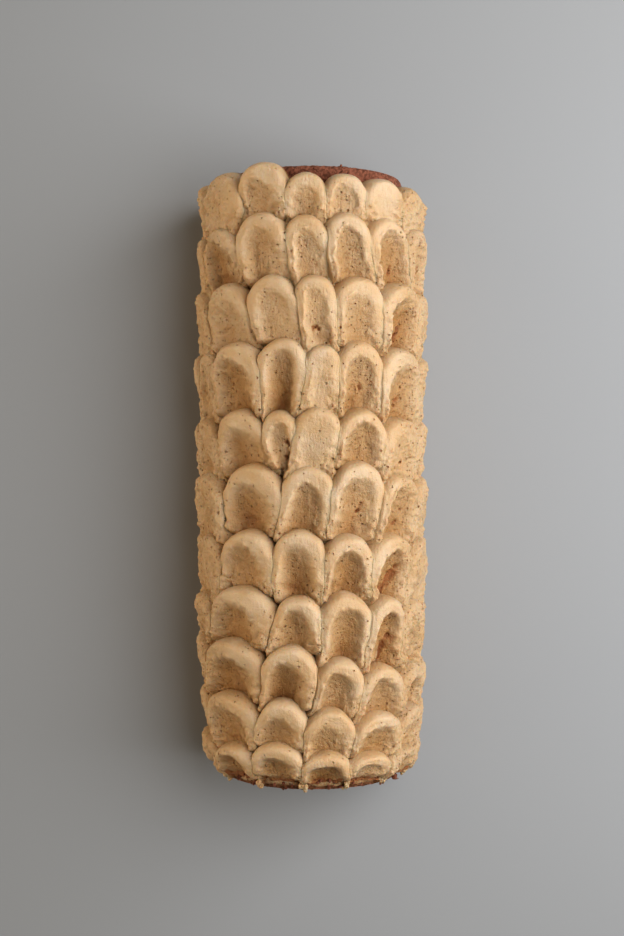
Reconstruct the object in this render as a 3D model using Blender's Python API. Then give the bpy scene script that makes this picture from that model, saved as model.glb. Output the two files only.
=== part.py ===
"""A yule log cake: a rolled chocolate sponge under coffee buttercream.

Run with:  blender --background --python part.py

The log lies along Y and stands on z = 0, with the origin under its middle.
A place on it is given by three numbers: `arc`, how far round from the crest,
`along`, its Y, and `height` over the sponge's skin, square to it. The cream
is a plain coat with rows of dollops on it. Each dollop is piped as a blob and
dragged towards -Y with a spoon, which leaves a round head, a hollow and two
legs, and the heads of one row cover the tails of the row before.
"""
import math
import random

import bmesh
import bpy
import numpy as np

# ---- sponge roll, in metres ----
MM = 0.001
LENGTH = 0.294
HALF_WIDTH = 0.0455
AXIS_HEIGHT = 0.038      # of the spiral's centre over the table
RISE = 0.042             # from there up to the crest
DROP = 0.040             # from there down, past the table
SQUARENESS = 3.5         # of the lower half, which its weight has flattened
NARROWING = {-1: 0.07, 1: 0.03}     # share of the girth lost at each end
NARROW_FROM = 0.060      # Y past which that begins
ROUND_STEPS = 40

# ---- spiral of filling ----
GAP = 0.0003             # between pieces that touch
FILLING_HALF = 0.0017    # half its thickness
SPIRAL_TURNS = 2.35
SPIRAL_INNER = 0.13      # where it starts and ends, as shares of the way out
SPIRAL_OUTER = 0.80
SPIRAL_DROP = 0.0344     # depth of the spiral's oval below the axis, at its skin
SPIRAL_START = math.radians(200)
SPIRAL_STEPS = 38

# ---- buttercream ----
BASE = 0.0015            # height over the skin from which dollops rise, and where arcs are measured
COAT = 0.0022            # height over the skin of the plain coat
COAT_FRONT = -0.1450     # Y of the coat's two ends
COAT_BACK = 0.1395
HEAD_RISE = 0.0113       # of a dollop's head over its base
HEAD_DEPTH = 0.0052      # from its front to the ridge's top
HEAD_LENGTH = 1.15       # of its round head, as a share of the half width
RIM = 0.0044             # from the outline to the ridge's top, near the head
TIP_RIM = 0.0027         # and at the leg's tip
SHOULDER = 0.0052        # width of the round outer side
ROUNDNESS = 2.1
TAPER = 0.18             # share of its height that a leg loses by its tip
NARROWEST_HOLLOW = 0.5   # from its middle to the ridge's top, as a share of the half width
BOWL_LENGTH = 1.45       # of the hollow's round end, as a share of its half width
HEAD_LIFT = 4.0          # millimetres from a hollow's deepest up to its bed at the head
FLATTEST = 0.97          # a hollow's bed at most, as a share of the ridge's height
DEEPEST = 0.78           # share of the way down at which it is deepest
ROOT = -0.0012           # height over its base at which a dollop starts, inside the coat
LEG_SINK = 0.0006        # by which the legs' tips sink into what they lie on
LEG_FADE = (0.30, 0.60)  # shares of the way down over which a cut leg gets lower
LEG_SHORT = 0.0027       # by which the legs stop short of the tail
LEG_END = 0.0040         # length of their round ends
LAP = 0.0021             # by which a dollop reaches past its divisions
TUCK = 0.0085            # by which a tail runs on past the next row's heads
AIM_REACH = 0.0105       # how far a leg bends round the log to a gap in the next row
NOTCH = 0.1              # share of the length by which the tail is cut in
LOWEST = 0.120           # arc past which no dollop is needed
SIDE_WIDTH = 23          # millimetres of arc to each dollop lower down
SEED = 24
POINTS_ROUND = 36        # round a dollop's outline
HEAD_STEPS = 0.45        # share of those points that the round head takes
SIDE_STEPS = 0.45        # and the side down to the leg's tip
# How far in each ring of points lies, from the outline to the hollow's middle line.
RING_SHARES = (0, 0.05, 0.12, 0.22, 0.34, 0.48, 0.64, 0.80, 0.94)
FUSED_GRAIN = 0.0009     # to which the fused cream is smoothed
FACES_KEPT = 0.027       # share of its faces that its form needs

# Each row: the arcs, in millimetres, at which its dollops divide, and the Y at
# which each of them has its front.
ROWS = (
    ((-60, -32.8, -11.2, 5.3, 23.1, 42.9, 64), (147.5, 149.3, 143.3, 143.3, 142.6, 142.0)),
    ((-79, -56, -33.6, -11.1, 5.5, 23.2, 44.4, 66), (121.0, 121.5, 125.6, 123.5, 124.6, 124.2, 122.5)),
    ((-71, -52.5, -27.5, -6.5, 9.0, 30.0, 54, 74), (92.5, 93.8, 95.6, 95.4, 95.0, 94.0, 92.0)),
    ((-60, -46.5, -21.4, -2.3, 10.9, 29.8, 53, 76), (63.0, 65.1, 66.4, 62.8, 65.2, 63.0, 61.0)),
    ((-68, -44.5, -20.6, -6.1, 10.7, 31.0, 54.5, 75), (30.0, 33.3, 32.4, 34.1, 33.6, 30.0, 29.0)),
    ((-68, -40.5, -11.6, 8.2, 31.0, 51, 74), (3.5, 7.9, 6.8, 9.1, 3.5, 2.0)),
    ((-67, -40.0, -16.6, 5.5, 25.2, 48, 71), (-25.5, -23.1, -22.7, -25.1, -25.0, -27.5)),
    ((-72, -47.0, -15.1, 3.6, 24.6, 41, 62), (-54.0, -49.7, -53.6, -52.0, -54.7, -57.0)),
    ((-74, -56, -20.3, 2.5, 21.3, 42, 66), (-75.0, -75.1, -76.8, -82.8, -86.7, -88.0)),
    ((-82, -58, -23.5, -2.8, 18.0, 44.5, 67), (-101.0, -101.0, -102.5, -105.9, -109.6, -109.0)),
    ((-68, -50, -26.9, -4.1, 16.5, 38.5, 60), (-125.5, -125.4, -122.7, -126.7, -128.2, -128.0)),
)
# How each dollop was scooped, by row and place from the left: millimetres that
# its hollow sits off the middle, and that it leans by the tail; height of the
# hollow's bed over the base; and how much is left of the left leg and the right.
FORMS = {
    (0, 0): (0, 0, 9.5, 1.0, 1.0), (0, 1): (-2.5, 0, 4.0, 0.35, 1.0), (0, 2): (0, 0, 5.0, 0.7, 0.9),
    (0, 3): (-1, 0, 5.0, 0.6, 0.9), (0, 4): (1, 0, 7.0, 0.9, 0.6), (0, 5): (0, 0, 8.5, 0.8, 0.8),
    (1, 0): (0, 0, 7.0, 0.8, 0.8), (1, 1): (-4, 0, 3.0, 0.9, 0.35), (1, 2): (1, 0, 5.5, 1.0, 0.2),
    (1, 3): (0.5, 0, 5.0, 0.95, 0.25), (1, 4): (0.5, 0, 4.5, 0.95, 0.8), (1, 5): (3, 0, 3.0, 1.0, 0.9),
    (1, 6): (0, 0, 5.0, 0.8, 0.8),
    (2, 0): (0, 0, 7.0, 0.8, 0.8), (2, 1): (0, 0, 6.0, 0.9, 0.5), (2, 2): (1.5, 1, 5.0, 1.0, 0.5),
    (2, 3): (0, 1, 6.5, 0.9, 0.9), (2, 4): (0, 0, 5.0, 0.9, 0.9), (2, 5): (3, -1, 2.0, 1.0, 0.9),
    (2, 6): (0, 0, 7.0, 0.8, 0.8),
    (3, 0): (0, 0, 5.0, 0.9, 0.9), (3, 1): (-2.5, 4, 2.5, 0.9, 1.0), (3, 2): (2, -3, 2.0, 1.0, 0.9),
    (3, 3): (0, 0, 6.5, 0.9, 0.6), (3, 4): (1, -3, 3.0, 1.0, 0.9), (3, 5): (2.5, -3, 3.0, 1.0, 0.9),
    (3, 6): (0, 0, 6.0, 0.8, 0.8),
    (4, 0): (-3, 0, 5.0, 0.9, 0.8), (4, 1): (0, 0, 1.5, 1.0, 0.6), (4, 2): (2.5, 1, 1.5, 1.1, 0.6),
    (4, 3): (0, 0, 7.5, 0.9, 0.8), (4, 4): (1, 0, 3.0, 0.9, 0.9), (4, 5): (1, 0, 6.0, 0.9, 0.9),
    (5, 0): (-2, 0, 5.5, 0.9, 0.9), (5, 1): (-2, 0, 1.5, 0.9, 0.9), (5, 2): (0.5, 1, 2.0, 0.9, 0.9),
    (5, 3): (1, 0, 2.5, 1.0, 0.8), (5, 4): (1, 0, 4.0, 0.9, 0.9), (5, 5): (0, 0, 6.5, 0.8, 0.8),
    (6, 0): (-2, 0, 6.0, 0.9, 0.9), (6, 1): (0, 0, 4.5, 0.8, 0.8), (6, 2): (-0.5, 0, 2.0, 0.9, 1.0),
    (6, 3): (0.5, -1, 1.5, 0.9, 1.0), (6, 4): (3, -5, 1.5, 1.0, 0.9), (6, 5): (0, 0, 7.5, 0.8, 0.8),
    (7, 0): (0, 0, 6.5, 0.8, 0.8), (7, 1): (-4, 0, 2.5, 0.8, 1.0), (7, 2): (0, 0, 2.5, 0.9, 0.9),
    (7, 3): (1.5, 0, 2.0, 0.9, 1.0), (7, 4): (2.5, 0, 1.5, 0.9, 0.9), (7, 5): (0, 0, 5.0, 0.9, 0.9),
    (8, 1): (2, 0, 1.0, 1.1, 0.8), (8, 2): (-1.5, 0, 1.5, 0.9, 1.0), (8, 3): (-1, 0, 2.5, 0.8, 1.0),
    (8, 4): (0, 0, 3.0, 0.8, 1.1), (8, 5): (0, 0, 3.0, 0.9, 0.9),
    (9, 1): (1, 0, 4.5, 1.0, 0.9), (9, 2): (0, 0, 5.0, 0.9, 0.9), (9, 3): (-1, 0, 6.0, 0.9, 0.8),
    (9, 4): (2, -3, 3.0, 0.9, 1.0), (9, 5): (0, -6, 5.0, 1.0, 1.0),
    (10, 1): (0, 0, 4.0, 0.8, 0.8), (10, 2): (0, 0, 4.5, 0.9, 0.9), (10, 3): (0, 0, 4.5, 0.9, 0.9),
    (10, 4): (-1, 0, 6.0, 0.9, 0.8),
}


# ---- the log's own coordinates ----

def skin_curve(steps=2880):
    """Arc length, point and outward normal all round the sponge's skin."""
    turn = np.linspace(-math.pi, math.pi, steps + 1)
    side, up = np.sin(turn), np.cos(turn)
    power = np.where(up >= 0, 1.0, 2 / SQUARENESS)
    reach = np.where(up >= 0, RISE, DROP)
    x = HALF_WIDTH * np.sign(side) * np.abs(side) ** power
    z = AXIS_HEIGHT + reach * np.sign(up) * np.abs(up) ** power
    run = np.hypot(np.gradient(x), np.gradient(z))
    normal_x, normal_z = -np.gradient(z) / run, np.gradient(x) / run
    base_x, base_z = x + BASE * normal_x, z + BASE * normal_z
    arc = np.concatenate([[0], np.cumsum(np.hypot(np.diff(base_x), np.diff(base_z)))])
    return arc - arc[steps // 2], x, z, normal_x, normal_z


ARC, SKIN_X, SKIN_Z, NORMAL_X, NORMAL_Z = skin_curve()
ARC_ROUND = float(ARC[-1] - ARC[0])


def girth(along):
    """Share of its full girth that the log has at these Ys."""
    past = (np.minimum(np.abs(along), LENGTH / 2) - NARROW_FROM) / (LENGTH / 2 - NARROW_FROM)
    lost = np.where(np.asarray(along) > 0, NARROWING[1], NARROWING[-1])
    return 1 - lost * np.maximum(0.0, past) ** 1.6


def on_log(arc, along, height):
    """Points at these arcs, Ys and heights over the sponge's skin."""
    x = np.interp(arc, ARC, SKIN_X) + height * np.interp(arc, ARC, NORMAL_X)
    z = np.interp(arc, ARC, SKIN_Z) + height * np.interp(arc, ARC, NORMAL_Z)
    size = girth(along)
    return np.stack([x * size, along + 0 * x, z * size], axis=-1)


def smooth(low, high, value):
    """0 below low and 1 above high, with a smooth ramp between them."""
    share = np.clip((value - low) / (high - low), 0, 1)
    return share * share * (3 - 2 * share)


# ---- making solids ----

def add_object(name, vertices, faces, collection=None):
    """A new object with its faces turned outwards."""
    mesh = bpy.data.meshes.new(name)
    mesh.from_pydata(vertices, [], faces)
    work = bmesh.new()
    work.from_mesh(mesh)
    bmesh.ops.recalc_face_normals(work, faces=work.faces)
    work.to_mesh(mesh)
    work.free()
    made = bpy.data.objects.new(name, mesh)
    (collection or bpy.context.collection).objects.link(made)
    return made


def loft(name, rings, collection=None):
    """A closed solid through rings of equally many points, capped at both ends."""
    count = len(rings[0])
    vertices = [tuple(point) for ring in rings for point in ring]
    faces = []
    for level in range(len(rings) - 1):
        for i in range(count):
            j = (i + 1) % count
            a, b = level * count, (level + 1) * count
            faces.append((a + i, a + j, b + j, b + i))
    faces.append(tuple(range(count)))
    faces.append(tuple(range((len(rings) - 1) * count, len(rings) * count)))
    return add_object(name, vertices, faces, collection)


def apply_modifiers(target):
    evaluated = target.evaluated_get(bpy.context.evaluated_depsgraph_get())
    mesh = bpy.data.meshes.new_from_object(evaluated)
    target.modifiers.clear()
    target.data = mesh


def cut_away(target, cutter, solver="EXACT"):
    """Cut the cutter out of the target, and remove it."""
    cut = target.modifiers.new("cut", "BOOLEAN")
    cut.operation = "DIFFERENCE"
    cut.solver = solver
    cut.object = cutter
    apply_modifiers(target)
    bpy.data.objects.remove(cutter)


def fuse(target, collection):
    """Join all of a collection's solids to the target, and remove them."""
    join = target.modifiers.new("fuse", "BOOLEAN")
    join.operation = "UNION"
    join.solver = "MANIFOLD"
    join.operand_type = "COLLECTION"
    join.collection = collection
    apply_modifiers(target)
    for item in list(collection.objects):
        bpy.data.objects.remove(item)
    bpy.data.collections.remove(collection)


def box(name, low, high):
    corners = [(x, y, z) for x in (low[0], high[0])
               for y in (low[1], high[1]) for z in (low[2], high[2])]
    faces = [(0, 1, 3, 2), (4, 6, 7, 5), (0, 4, 5, 1), (2, 3, 7, 6), (0, 2, 6, 4), (1, 5, 7, 3)]
    return add_object(name, corners, faces)


def give_material(target, name, colour, roughness):
    material = bpy.data.materials.new(name)
    material.use_nodes = True
    shader = material.node_tree.nodes["Principled BSDF"]
    shader.inputs["Base Color"].default_value = (*colour, 1)
    shader.inputs["Roughness"].default_value = roughness
    target.data.materials.clear()
    target.data.materials.append(material)


def stations(low, high, count):
    return [low + (high - low) * i / count for i in range(count + 1)]


# ---- sponge and filling ----

def spiral_point(turns, offset):
    """A point of the section on the spiral, moved out from it by offset."""
    share = SPIRAL_INNER + (SPIRAL_OUTER - SPIRAL_INNER) * turns / SPIRAL_TURNS
    turn = SPIRAL_START + turns * 2 * math.pi
    side, up = math.sin(turn), math.cos(turn)
    reach = RISE if up >= 0 else SPIRAL_DROP
    radius = 1 / math.hypot(side / HALF_WIDTH, up / reach)
    radius = radius * share + offset
    return side * radius, AXIS_HEIGHT + up * radius


def spiral_strip(name, half, ends):
    """The spiral's strip, of this half thickness, run from end to end."""
    turns = stations(0, SPIRAL_TURNS, SPIRAL_STEPS)
    section = [spiral_point(t, half) for t in turns]
    section += [spiral_point(t, -half) for t in reversed(turns)]
    rings = []
    for along in ends:
        size = girth(along)
        rings.append([(x * size, along, z * size) for x, z in section])
    return loft(name, rings)


def length_stations(spare=0.0):
    """Ys at which a piece as long as the sponge, and a spare more, takes its girth."""
    bend = (LENGTH / 2 + NARROW_FROM) / 2
    ends = (LENGTH / 2,) if spare == 0 else (LENGTH / 2, LENGTH / 2 + spare)
    half = (NARROW_FROM, bend, *ends)
    return (*(-along for along in reversed(half)), *half)


def roll_solid(name, height, ends):
    """The whole section out to a height over the skin, run from end to end."""
    arcs = np.linspace(-ARC_ROUND / 2, ARC_ROUND / 2, ROUND_STEPS + 1)[:-1]
    return loft(name, [on_log(arcs, along, height) for along in ends])


def table():
    """What lies below z = 0, to cut a flat foot with."""
    return box("table", (-0.1, -0.2, -0.05), (0.1, 0.2, 0.0))


def make_sponge():
    """The roll, with a spiral slot that the filling lies in."""
    sponge = roll_solid("sponge_roll", 0, length_stations())
    cut_away(sponge, table())
    cut_away(sponge, spiral_strip("slot", FILLING_HALF + GAP, length_stations(GAP)))
    give_material(sponge, "chocolate_sponge", (0.115, 0.040, 0.020), 0.9)


def make_filling():
    filling = spiral_strip("filling", FILLING_HALF, length_stations())
    give_material(filling, "cream_filling", (0.55, 0.36, 0.20), 0.6)


# ---- buttercream ----

def half_outline(step, half, length):
    """Share of the half width, and distance down, of the outline's right half: step
    runs from 0 at the head's front to 1 at the tail's middle."""
    head = min(half * HEAD_LENGTH, length / 2)
    turn = np.clip(step / HEAD_STEPS, 0, 1) * math.pi / 2
    run = np.clip((step - HEAD_STEPS) / SIDE_STEPS, 0, 1)
    back = np.clip((step - HEAD_STEPS - SIDE_STEPS) / (1 - HEAD_STEPS - SIDE_STEPS), 0, 1)
    down = head * (1 - np.cos(turn)) + (length - head) * run - NOTCH * length * back
    return np.sin(turn) * (1 - back), down


def add_dollop(collection, arcs, tips, ends, form, rise):
    """One dollop, from its arcs at the head to those at its legs' tips, in rings from
    its root up over the ridge and down into the hollow."""
    front, length = ends
    shift, lean, bed, left, right = form
    half = (arcs[1] - arcs[0]) / 2 + LAP
    tip_half = (tips[1] - tips[0]) / 2 + LAP
    centre, tip_centre = sum(arcs) / 2, sum(tips) / 2
    head = min(half * HEAD_LENGTH, length / 2)

    turn = np.arange(POINTS_ROUND) / POINTS_ROUND * 2
    side = np.where(turn < 1, 1, -1)
    step = np.where(turn < 1, turn, 2 - turn)
    edge_out, edge_down = half_outline(step, half, length)
    spine_down = np.clip(edge_down, head, length * (1 - NOTCH) - MM)
    inward = np.array(RING_SHARES)[:, None]
    out = side * edge_out * (1 - inward)
    down = edge_down + (spine_down - edge_down) * inward
    run = np.clip(down / length, 0, 1)
    width = half + (tip_half - half) * run ** 2
    middle = (tip_centre - centre) * run ** 2
    across = out * width + middle

    crest = rise * (1 - TAPER * run ** 1.6)
    lift = HEAD_LIFT * np.clip((DEEPEST - run) / (DEEPEST - 0.25), 0, 1) ** 1.2
    low = np.minimum((bed + lift) * MM, crest * FLATTEST)
    kept = left + (right - left) * smooth(-0.25, 0.25, out)
    ending = np.clip((length - LEG_SHORT - down) / LEG_END, 0, 1)
    ending = np.sqrt(1 - (1 - ending) ** 2)
    crest = low + (crest - low) * (1 - (1 - kept) * smooth(*LEG_FADE, run)) * ending
    inset = np.clip(inward * (head + (width - head) * run) / SHOULDER, 0, 1)
    loaf = crest * (1 - (1 - inset) ** ROUNDNESS) ** (1 / ROUNDNESS) - LEG_SINK * run

    reach = np.maximum(width - RIM - (TIP_RIM - RIM) * run, width * NARROWEST_HOLLOW)
    bowl = reach * BOWL_LENGTH
    line = (shift + lean * run ** 2) * MM
    off = across - middle - line
    far = off / np.maximum(reach - line * np.sign(off), reach * 0.25)
    far = np.hypot(far, np.maximum(0, HEAD_DEPTH + bowl - down) / bowl)
    height = np.minimum(loaf, low + (crest - low) * smooth(0.0, 1.0, far))

    root = on_log(centre + across[0], front - down[0], BASE + ROOT)
    loft("dollop", [root, *on_log(centre + across, front - down, BASE + height)], collection)


def row_divisions(listed):
    """The listed arcs in metres, carried on down both sides in equal steps, and
    how many of the dollops between them come before the first listed one."""
    arcs = list(listed)
    while arcs[0] > -LOWEST / MM:
        arcs.insert(0, arcs[0] - SIDE_WIDTH)
    while arcs[-1] < LOWEST / MM:
        arcs.append(arcs[-1] + SIDE_WIDTH)
    added = arcs.index(listed[0])
    return [arc * MM for arc in arcs], added


def front_at(arc, row):
    """Y of the front of a row's dollop nearest to an arc."""
    divisions, fronts = row
    middles = [(a + b) / 2 * MM for a, b in zip(divisions, divisions[1:])]
    return float(np.interp(arc, middles, fronts)) * MM


def aimed(arcs, gaps):
    """Where a dollop's two legs end: in the next row's nearest gaps, if near enough."""
    tips = []
    for arc in arcs:
        gap = min(gaps, key=lambda other: abs(other - arc))
        tips.append(gap if abs(gap - arc) < AIM_REACH else arc)
    middle, half = sum(tips) / 2, max(3.5 * MM, (tips[1] - tips[0]) / 2)
    return middle - half, middle + half


def add_dollops(collection):
    """All the rows, with a little unevenness from one dollop to the next."""
    draw = random.Random(SEED)
    for row, (listed, fronts) in enumerate(ROWS):
        arcs, added = row_divisions(listed)
        last = row + 1 == len(ROWS)
        gaps = arcs if last else row_divisions(ROWS[row + 1][0])[0]
        for i in range(len(arcs) - 1):
            place = i - added
            centre = (arcs[i] + arcs[i + 1]) / 2
            start = front_at(centre, ROWS[row])
            if not 0 <= place < len(fronts):
                start += draw.uniform(-MM, MM)
            tail = COAT_FRONT if last else front_at(centre, ROWS[row + 1]) - TUCK
            length = start - max(tail + draw.uniform(-MM, MM), -LENGTH / 2)
            plain = (draw.uniform(-0.8, 0.8), draw.uniform(-1.5, 1.5), draw.uniform(3.5, 7.5), 0.9, 0.9)
            rise = HEAD_RISE * draw.uniform(0.9, 1.06)
            both = (arcs[i], arcs[i + 1])
            add_dollop(collection, both, aimed(both, gaps), (start, length),
                       FORMS.get((row, place), plain), rise)


def make_buttercream():
    """The coat with its dollops, hollow where the sponge lies."""
    cream = roll_solid("buttercream", COAT, stations(COAT_FRONT, COAT_BACK, 6))
    dollops = bpy.data.collections.new("dollops")
    bpy.context.scene.collection.children.link(dollops)
    add_dollops(dollops)
    fuse(cream, dollops)
    smooth = cream.modifiers.new("smooth", "REMESH")
    smooth.voxel_size = FUSED_GRAIN
    fewer = cream.modifiers.new("fewer_faces", "DECIMATE")
    fewer.ratio = FACES_KEPT
    apply_modifiers(cream)
    cut_away(cream, roll_solid("core", GAP, length_stations(0.02)), "MANIFOLD")
    cut_away(cream, table(), "MANIFOLD")
    give_material(cream, "coffee_buttercream", (0.52, 0.34, 0.19), 0.55)


def main():
    for item in list(bpy.data.objects):
        bpy.data.objects.remove(item)
    make_sponge()
    make_filling()
    make_buttercream()


main()
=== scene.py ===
"""The looks of a yule log cake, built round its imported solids.

The log lies along Y. A place on it is given by `arc`, how far round from the
crest, `along`, its Y, and `height` over the sponge's skin. The rows of
dollops are the solids' own, made again with a finer mesh and hollows that are
a little deeper. Lengths are in metres where a comment doesn't say otherwise.
"""
import math
import random

import bpy
import numpy as np
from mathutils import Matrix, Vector

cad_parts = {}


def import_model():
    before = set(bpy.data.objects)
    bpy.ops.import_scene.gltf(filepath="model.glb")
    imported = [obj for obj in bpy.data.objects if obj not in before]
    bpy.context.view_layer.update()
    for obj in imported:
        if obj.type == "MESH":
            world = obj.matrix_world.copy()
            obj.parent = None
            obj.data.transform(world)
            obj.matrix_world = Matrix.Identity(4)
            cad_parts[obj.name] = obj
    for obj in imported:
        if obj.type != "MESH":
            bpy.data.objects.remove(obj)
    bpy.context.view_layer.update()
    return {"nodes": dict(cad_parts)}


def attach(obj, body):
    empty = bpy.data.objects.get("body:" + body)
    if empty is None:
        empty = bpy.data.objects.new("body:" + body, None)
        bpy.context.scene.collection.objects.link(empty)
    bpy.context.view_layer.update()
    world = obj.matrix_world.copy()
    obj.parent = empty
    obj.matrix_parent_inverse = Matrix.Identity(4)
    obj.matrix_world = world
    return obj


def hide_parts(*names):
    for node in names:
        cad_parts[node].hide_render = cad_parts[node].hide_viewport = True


MM = 0.001

# ---- the sponge roll, as in the solids ----
LENGTH = 0.294
HALF_WIDTH = 0.0455
AXIS_HEIGHT = 0.038      # of the spiral's centre over the table
RISE = 0.042             # from there up to the crest
DROP = 0.040             # from there down, past the table
SQUARENESS = 3.5         # of the lower half, which its weight has flattened
NARROWING = {-1: 0.07, 1: 0.03}  # share of the girth lost at each end
NARROW_FROM = 0.060      # Y past which that begins
NARROW_POWER = 1.6
SKIN_STEPS = 2880

# ---- the spiral of filling, as in the solids ----
FILLING_HALF = 0.0017    # half its thickness
SPIRAL_TURNS = 2.35
SPIRAL_INNER = 0.13      # where it starts and ends, as shares of the way out
SPIRAL_OUTER = 0.80
SPIRAL_DROP = 0.0344     # depth of the spiral's oval below the axis, at its skin
SPIRAL_START = math.radians(200)

# ---- the buttercream, as in the solids apart from a thinner coat ----
COAT = 0.0015            # height over the skin of the plain coat, and the dollops' base
COAT_FRONT = -0.1450     # Y of the coat's two ends
COAT_BACK = 0.1395
HEAD_RISE = 0.0113       # of a dollop's head over its base
HEAD_DEPTH = 0.0052      # from its front to the ridge's top
HEAD_LENGTH = 1.15       # of its round head, as a share of the half width
RIM = 0.0044             # from the outline to the ridge's top, near the head
TIP_RIM = 0.0027         # and at the leg's tip
SHOULDER = 0.0052        # width of the round outer side
ROUNDNESS = 2.1
TAPER = 0.18             # share of its height that a leg loses by its tip
TAPER_POWER = 1.6
NARROWEST_HOLLOW = 0.5   # from its middle to the ridge's top, as a share of the half width
BOWL_LENGTH = 1.45       # of the hollow's round end, as a share of its half width
FLATTEST = 0.97          # a hollow's bed at most, as a share of the ridge's height
LEG_SINK = 0.0006        # by which the legs' tips sink into what they lie on
LEG_FADE = (0.30, 0.60)  # shares of the way down over which a cut leg gets lower
LEG_END = 0.0040         # length of a leg's round end
LAP = 0.0021             # by which a dollop reaches past its divisions
TUCK = 0.0085            # by which a tail runs on past the next row's heads
AIM_REACH = 0.0105       # how far a leg bends round the log to a gap in the next row
NARROWEST_TAIL = 0.0035  # half width of a dollop where its legs end, at least
NOTCH = 0.1              # share of the length by which the tail is cut in
LOWEST = 0.120           # arc past which no dollop is needed
SIDE_WIDTH = 23          # millimetres of arc to each dollop lower down
SEED = 24
HEAD_STEPS = 0.45        # share of an outline's points that the round head takes
SIDE_STEPS = 0.45        # and the side down to the leg's tip

# Each row: the arcs, in millimetres, at which its dollops divide, and the Y at
# which each of them has its front.
ROWS = (
    ((-60, -32.8, -11.2, 5.3, 23.1, 42.9, 64), (147.5, 149.3, 143.3, 143.3, 142.6, 142.0)),
    ((-79, -56, -33.6, -11.1, 5.5, 23.2, 44.4, 66), (121.0, 121.5, 125.6, 123.5, 124.6, 124.2, 122.5)),
    ((-71, -52.5, -27.5, -6.5, 9.0, 30.0, 54, 74), (92.5, 93.8, 95.6, 95.4, 95.0, 94.0, 92.0)),
    ((-60, -46.5, -21.4, -2.3, 10.9, 29.8, 53, 76), (63.0, 65.1, 66.4, 62.8, 65.2, 63.0, 61.0)),
    ((-68, -44.5, -20.6, -6.1, 10.7, 31.0, 54.5, 75), (30.0, 33.3, 32.4, 34.1, 33.6, 30.0, 29.0)),
    ((-68, -40.5, -11.6, 8.2, 31.0, 51, 74), (3.5, 7.9, 6.8, 9.1, 3.5, 2.0)),
    ((-67, -40.0, -16.6, 5.5, 25.2, 48, 71), (-25.5, -23.1, -22.7, -25.1, -25.0, -27.5)),
    ((-72, -47.0, -15.1, 3.6, 24.6, 41, 62), (-54.0, -49.7, -53.6, -52.0, -54.7, -57.0)),
    ((-74, -56, -20.3, 2.5, 21.3, 42, 66), (-75.0, -75.1, -76.8, -82.8, -86.7, -88.0)),
    ((-82, -58, -23.5, -2.8, 18.0, 44.5, 67), (-101.0, -101.0, -102.5, -105.9, -109.6, -109.0)),
    ((-68, -50, -26.9, -4.1, 16.5, 38.5, 60), (-125.5, -125.4, -122.7, -126.7, -128.2, -128.0)),
)
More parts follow.
